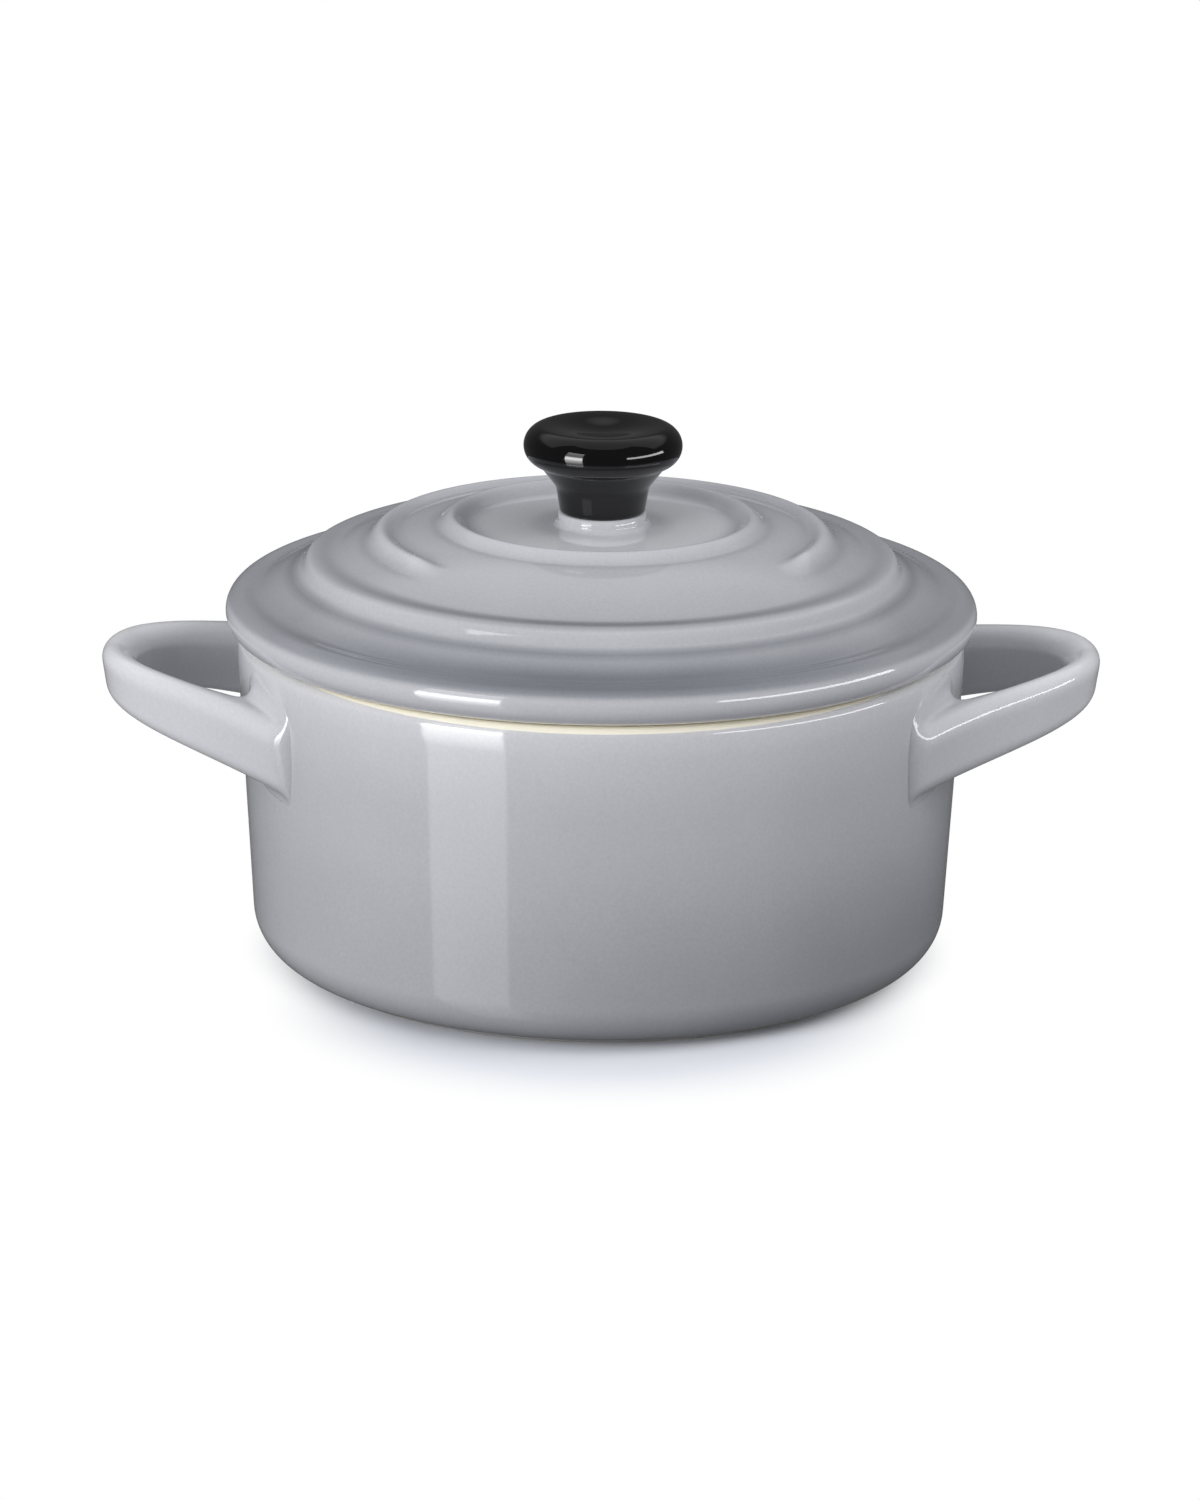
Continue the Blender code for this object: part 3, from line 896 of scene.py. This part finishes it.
def lid_outline(lid):
    """Over the boss, the rings and the rounded edge, then the seat, flange and hollow."""
    inner = ring_radius(lid, 2)
    crest = crown(lid, inner) + lid.ring_height
    dish = crest - lid.dish_drop
    boss = dish + lid.boss_height
    foot = (lid.boss_radius, dish)
    top = [Vector((0.0, boss)), Vector((lid.boss_radius - lid.boss_edge, boss)),
           Vector((lid.boss_radius, boss - lid.boss_edge / 2))]
    top += fillet((lid.boss_radius, boss), foot, (inner, dish), lid.boss_fillet, 10)

    shoulder = ring_radius(lid, 0) + lid.ring_fall
    start = inner - lid.ring_width / 2
    count = round((shoulder - start) / lid.crown_spacing)
    for index in range(count + 1):
        radius = start + (shoulder - start) * index / count
        height = crown(lid, radius)
        for ring in range(RINGS):
            height += lid.ring_height * ring_swell(lid, ring, radius)
        if radius < inner:
            height = dish + lid.dish_drop * ring_swell(lid, 2, radius)
        top.append(Vector((radius, height)))

    edge = (lid.radius - lid.edge, lid.edge)
    trough = (lid.radius - lid.trough_inset, 2 * lid.edge - lid.trough_depth)
    shoulder = (shoulder, crown(lid, shoulder))
    top += fillet(shoulder, trough, (edge[0], 2 * lid.edge), lid.trough_curve, 10)
    top += arc(edge, lid.edge, QUARTER, math.radians(-55.0), 22)

    under = arc(edge, lid.edge, math.radians(-62.0), -QUARTER, 4)
    outer = lid.flange_radius
    inside = outer - lid.flange_width
    ceiling = dish - lid.wall
    spring = (inside, crown(lid, inside) - lid.wall)
    shelf = ring_radius(lid, 1)
    corner = (outer, 0.0)
    outer_tip = (outer, -lid.flange_depth)
    inner_tip = (inside, -lid.flange_depth)
    under += fillet(edge, corner, outer_tip, lid.seat_corner, 3)
    under += fillet(corner, outer_tip, inner_tip, lid.flange_edge, 6)
    under += fillet(outer_tip, inner_tip, spring, lid.flange_edge, 6)
    under += fillet(inner_tip, spring, (shelf, crown(lid, shelf) - lid.wall), lid.spring, 6)
    for radius in (shelf, inner):
        under.append(Vector((radius, min(ceiling, crown(lid, radius) - lid.wall))))
    under.append(Vector((0.0, ceiling)))
    return top, under


def lid_spray_and_shade(lid, depths, radius, height, front, panel):
    """Glaze depth on the lid: it thins on crests and pools behind the edge, with painted light in the dish
    and painted shade towards the brim, on the boss and at the front.
    """
    facing = max(0.0, math.cos(front + math.radians(6.0)))
    brim = smooth_step(24.0 * MM, 46.0 * MM, radius)
    dish = 1.0 - smooth_step(15.0 * MM, 21.0 * MM, radius)
    boss = 1.0 - smooth_step(8.0 * MM, 11.0 * MM, radius)
    # Painted shade towards the brim, most at the front
    spray_and_shade = depths.crown + depths.brim_shade * brim * (1.0 - depths.brim_front_shade * (1.0 - facing))
    # Painted light in the dish around the knob, strongest in front of it
    spray_and_shade -= (depths.dish_light + depths.dish_front_light * math.cos(front)) * dish
    # Painted shade on the boss
    spray_and_shade += depths.boss_shade * boss
    for ring in range(RINGS):
        share = 1.0 - panel if ring == 1 else 1.0
        offset = radius - ring_radius(lid, ring)
        inner_foot = depths.inner_foot_gain[ring]
        # Painted shade inside the outer ring's front
        if ring == 0:
            inner_foot += depths.front_foot_shade * facing ** 2
        spray_and_shade -= share * depths.crest_loss[ring] * bell(offset, 0.4 * MM, 0.9 * MM)
        spray_and_shade += share * inner_foot * bell(offset, -2.2 * MM, 1.1 * MM)
        spray_and_shade += share * depths.outer_foot_gain[ring] * bell(offset, 2.4 * MM, 0.8 * MM)
    # Glaze pools in the trough behind the edge, with painted shade that darkens it most at the front
    inwards = lid.radius - radius
    pool = smooth_step(-8.4 * MM, -4.4 * MM, -inwards) * smooth_step(-0.3 * MM, 1.6 * MM, inwards)
    pool *= 1.0 - depths.pool_front_shade * (1.0 - facing ** 2)
    nose = smooth_step(-0.7 * MM, -0.1 * MM, -inwards)
    if height < lid.edge:
        pool, nose = 0.0, 1.0
    return spray_and_shade + depths.pool_and_shade_gain * pool - depths.edge_loss * nose


class CASSEROLE_OT_lid(Operator):
    """Turn the ringed lid and smooth its front panel"""

    bl_idname = "casserole.lid"
    bl_label = "Lid"

    def execute(self, context):
        lid = context.scene.casserole.lid
        depths = context.scene.casserole.depths
        top, under = lid_outline(lid)
        profile = spaced(top + under, lid.spacing)
        vertices, faces = turned(profile, lid.facets)
        top_end = first_near(profile, under[0])
        creams = spread_rings([float(index >= top_end) for index in range(len(profile))], lid.facets)
        seat = LID_LOW.z + lid.flange_depth
        panel_start = lid.panel_angle - lid.panel_fade / 2
        panel_end = lid.panel_angle + lid.panel_fade / 2
        shaped = []
        sprays_and_shades = []
        for (x, y, z), cream in zip(vertices, creams):
            radius = math.hypot(x, y)
            front = math.atan2(x, -y)
            spray_and_shade = 0.0
            if cream == 0.0:
                panel = 1.0 - smooth_step(panel_start, panel_end, abs(front))
                spray_and_shade = lid_spray_and_shade(lid, depths, radius, z, front, panel)
                z -= lid.ring_height * ring_swell(lid, 1, radius) * panel
            sprays_and_shades.append(max(-1.0, min(1.0, spray_and_shade)))
            angle = math.atan2(y, x) + lid.turn
            shaped.append((radius * math.cos(angle), radius * math.sin(angle), z + seat))
        grey = finish("grey_glazed_stoneware", grey_glaze)
        clay = finish("bare_fired_stoneware", bare_clay)
        piece = add_piece("glazed_lid", shaped, faces, [grey, clay], "lid", "lid")
        paint(piece, "glaze_depth_and_shade", sprays_and_shades)
        paint(piece, "cream", creams)
        for face in piece.data.polygons:
            face.material_index = 1 if face.center.z < LID_LOW.z + lid.bare else 0
        return {"FINISHED"}


# Knob

def knob_outline(knob, height):
    """Hollowed top, rounded edge, flare, neck and foot."""
    roll = (knob.radius - knob.roll, height - knob.roll)
    neck = (knob.foot + knob.neck_growth, knob.neck_height)
    run = math.hypot(roll[0] - neck[0], roll[1] - neck[1])
    slope = math.atan2(roll[1] - neck[1], roll[0] - neck[0])
    stop = slope - math.pi + math.asin(min(0.95, knob.roll / run))
    edge = arc(roll, knob.roll, knob.roll_angle, max(stop, -knob.roll_angle), 24)
    points = []
    steps = 12
    for step in range(steps):
        share = step / steps
        lift = knob.dish * smooth_step(0.0, 1.0, share)
        points.append(Vector((edge[0].x * share, edge[0].y - knob.dish + lift)))
    points += edge
    points += fillet(edge[-1], neck, (knob.foot, 0.0), knob.neck_curve, 12)
    points += fillet(neck, (knob.foot, 0.0), (0.0, 0.0), knob.foot_edge, 4)
    points.append(Vector((0.0, 0.0)))
    return points


class CASSEROLE_OT_knob(Operator):
    """Turn the black knob and set it on the lid's boss"""

    bl_idname = "casserole.knob"
    bl_label = "Knob"

    def execute(self, context):
        knob = context.scene.casserole.knob
        base = KNOB_LOW.z - knob.sink
        profile = spaced(knob_outline(knob, KNOB_HIGH.z - base), knob.spacing)
        vertices, faces = turned(profile, knob.facets)
        vertices = [(x, y, z + base) for x, y, z in vertices]
        black = finish("black_glazed_stoneware", black_glaze)
        add_piece("glazed_knob", vertices, faces, [black], "lid", "knob")
        return {"FINISHED"}


# Studio

# Each screen's distance, its left and right ends in degrees, and its light at heights in degrees
SCREENS = (
    ("dark_room", 2.6, -180.0, 180.0, [(elevation, 0.1) for elevation in range(-90, 91, 10)]),
    ("ceiling", 2.4, -180.0, 180.0, [(66.0, 0.45), (90.0, 0.45)]),
    ("back_ceiling", 2.4, 90.0, 270.0, [(29.0, 0.1), (37.0, 0.5), (66.0, 0.45)]),
    ("left_softbox", 2.0, -56.0, -29.5,
     [(-60.0, 0.5), (-35.0, 0.8), (-24.0, 1.4), (-19.0, 2.6), (-12.0, 5.5), (-3.0, 9.0),
      (2.0, 16.0), (10.0, 15.0), (15.0, 2.4), (25.0, 2.4), (34.0, 4.5)]),
    ("right_strip", 2.0, 35.0, 98.0, [(7.0, 9.0), (15.0, 9.0)]),
)

# Each light's azimuth and elevation in degrees, distance, width, height and power in watts
LIGHTS = (
    ("left_key", -43.0, 17.0, 1.0, 0.47, 0.55, 6.2),
    ("right_fill", 85.0, 38.0, 1.1, 0.6, 0.6, 3.8),
)


def add_stage_mesh(name, vertices, faces, material):
    """A floor or screen of the studio, which isn't part of the dish."""
    item = add_mesh(name, vertices, faces, [material])
    return item


def around(azimuth, elevation, distance):
    """A place around the dish: azimuth in degrees, 0 in front and positive to the right."""
    side = math.radians(azimuth)
    up = math.radians(elevation)
    return Vector((distance * math.cos(up) * math.sin(side),
                   -distance * math.cos(up) * math.cos(side),
                   distance * math.sin(up) + MIDDLE.z))


def aimed(location, target):
    """Place of an object there whose -Z points at a target, with +Y up."""
    turn = (target - location).to_track_quat("-Z", "Y")
    return Matrix.Translation(location) @ turn.to_matrix().to_4x4()


def glow(name):
    """Plain white light whose level each point of a screen gives."""
    material, tree = empty_material(name)
    light = add_node(tree, "Emission", [("Strength", painted(tree, "level"))])
    add_node(tree, "OutputMaterial", [("Surface", light.outputs[0])])
    material.cycles.emission_sampling = "NONE"
    return material


def add_screen(name, distance, left, right, levels):
    """A bowed screen that the glaze mirrors. It lights nothing, and the camera can't see it."""
    column_angle = 4.0
    columns = max(2, round((right - left) / column_angle))
    vertices = []
    values = []
    for elevation, level in levels:
        for column in range(columns + 1):
            vertices.append(around(left + (right - left) * column / columns, elevation, distance))
            values.append(level)
    faces = []
    for row in range(len(levels) - 1):
        for column in range(columns):
            low = row * (columns + 1) + column
            high = low + columns + 1
            faces.append((low, low + 1, high + 1, high))
    screen = add_stage_mesh(name, vertices, faces, glow(name))
    paint(screen, "level", values)
    for use in ("camera", "diffuse", "shadow", "transmission", "volume_scatter"):
        setattr(screen, "visible_" + use, False)


def add_light(name, azimuth, elevation, distance, width, height, power):
    """A softbox that lights the dish and stays out of its gloss."""
    light = bpy.data.lights.new(name, "AREA")
    light.shape = "RECTANGLE"
    light.size = width
    light.size_y = height
    light.energy = power
    item = add_object(name, light)
    item.matrix_world = aimed(around(azimuth, elevation, distance), MIDDLE)
    item.visible_glossy = False


def seen_rays(tree):
    """1 for what is seen straight, in gloss or through glass, and 0 for all other light."""
    rays = add_node(tree, "LightPath").outputs
    seen = computed(tree, "MAXIMUM", rays["Is Camera Ray"], rays["Is Glossy Ray"])
    return computed(tree, "MAXIMUM", seen, rays["Is Transmission Ray"])


def far_from_middle(tree, place, low, high):
    """0 to 1, softly, as the distance of a place from the middle goes from low to high."""
    away = add_node(tree, "VectorMath", [(0, place)], operation="LENGTH").outputs["Value"]
    return ranged(tree, away, low, high, interpolation_type="SMOOTHSTEP")


def add_floor(studio, pot):
    """White paper, open under the foot ring, that keeps the shadow and isn't seen from below."""
    material, tree = empty_material("white_paper")
    paper = add_node(tree, "BsdfDiffuse", Color=opaque(studio.floor)).outputs[0]
    dull = add_node(tree, "BsdfDiffuse", Color=opaque(studio.bounce)).outputs[0]
    white = add_node(tree, "Emission", Strength=1.0).outputs[0]
    nothing = add_node(tree, "BsdfTransparent").outputs[0]
    below = add_node(tree, "NewGeometry").outputs["Backfacing"]
    place = add_node(tree, "TexCoord").outputs["Object"]
    oval = add_node(tree, "Mapping", [("Vector", place)], vector_type="POINT",
                    Location=(0.0, studio.shade_shift / studio.shade_depth, 0.0),
                    Scale=(1.0 / studio.shade_width, 1.0 / studio.shade_depth, 1.0)).outputs[0]
    clear = computed(tree, "MULTIPLY", far_from_middle(tree, oval, studio.shade_core, 1.0),
                     far_from_middle(tree, place, studio.shade_inner, studio.shade_outer))
    lit = blended(tree, seen_rays(tree), dull, blended(tree, clear, paper, white))
    add_node(tree, "OutputMaterial", [("Surface", blended(tree, below, lit, nothing))])
    material.cycles.emission_sampling = "NONE"
    facets = 96
    corners = circle(pot.foot_radius - studio.floor_inset, -studio.floor_gap, facets)
    corners += circle(studio.floor_reach, -studio.floor_gap, facets)
    floor = add_stage_mesh("paper_floor", corners, band(0, facets, facets), material)
    floor.visible_glossy = False


def add_world(studio):
    """White to the camera, to gloss and through glass, and a soft even light elsewhere."""
    world = bpy.data.worlds.new("studio")
    bpy.context.scene.world = world
    world.use_nodes = True
    tree = world.node_tree
    tree.nodes.clear()
    soft = add_node(tree, "Background", Color=opaque(studio.soft_tint), Strength=studio.soft_light)
    white = add_node(tree, "Background", Color=opaque(srgb("#FFFFFF")), Strength=1.0)
    both = blended(tree, seen_rays(tree), soft.outputs[0], white.outputs[0])
    add_node(tree, "OutputWorld", [("Surface", both)])


def add_camera(studio):
    """Camera at the photograph's angle and distance."""
    camera = bpy.data.cameras.new("camera")
    camera.sensor_width = 36.0
    camera.lens = studio.lens
    camera.clip_start = 0.01
    item = add_object("camera", camera)
    target = Vector((0.0, 0.0, studio.aim))
    location = target + Vector((0.0, -studio.distance * math.cos(studio.elevation),
                                studio.distance * math.sin(studio.elevation)))
    item.matrix_world = aimed(location, target) @ Matrix.Rotation(studio.roll, 4, "Z")
    bpy.context.scene.camera = item


class CASSEROLE_OT_stage(Operator):
    """Lay the floor, hang the softboxes and screens and set the camera"""

    bl_idname = "casserole.stage"
    bl_label = "Studio"

    def execute(self, context):
        settings = context.scene.casserole
        context.scene.view_settings.view_transform = "Standard"
        add_floor(settings.studio, settings.pot)
        add_world(settings.studio)
        for screen in SCREENS:
            add_screen(*screen)
        for light in LIGHTS:
            add_light(*light)
        add_camera(settings.studio)
        return {"FINISHED"}


class CASSEROLE_PT_panel(Panel):
    """Sizes, colours and steps of the casserole dish"""

    bl_idname = "CASSEROLE_PT_panel"
    bl_label = "Mini Casserole Dish"
    bl_space_type = "VIEW_3D"
    bl_region_type = "UI"
    bl_category = "Casserole"

    def draw(self, context):
        settings = context.scene.casserole
        for operator in STEPS:
            self.layout.operator(operator.bl_idname)
        for name in CasseroleSettings.__annotations__:
            group = getattr(settings, name)
            box = self.layout.box()
            box.label(text=name.capitalize())
            for key in group.__annotations__:
                box.prop(group, key, text=key.replace("_", " ").capitalize())


STEPS = (CASSEROLE_OT_pot, CASSEROLE_OT_handles, CASSEROLE_OT_lid, CASSEROLE_OT_knob,
         CASSEROLE_OT_stage)
CLASSES = (PotSizes, HandleSizes, LidSizes, KnobSizes, GlazeColours, GlazeDepthsAndShades, StudioSettings,
           CasseroleSettings, *STEPS, CASSEROLE_PT_panel)


def register():
    for item in CLASSES:
        bpy.utils.register_class(item)
    bpy.types.Scene.casserole = PointerProperty(type=CasseroleSettings)


def unregister():
    del bpy.types.Scene.casserole
    for item in reversed(CLASSES):
        bpy.utils.unregister_class(item)


def main():
    register()
    bpy.ops.casserole.pot()
    bpy.ops.casserole.handles()
    bpy.ops.casserole.lid()
    bpy.ops.casserole.knob()
    bpy.ops.casserole.stage()


if __name__ == "__main__":
    main()
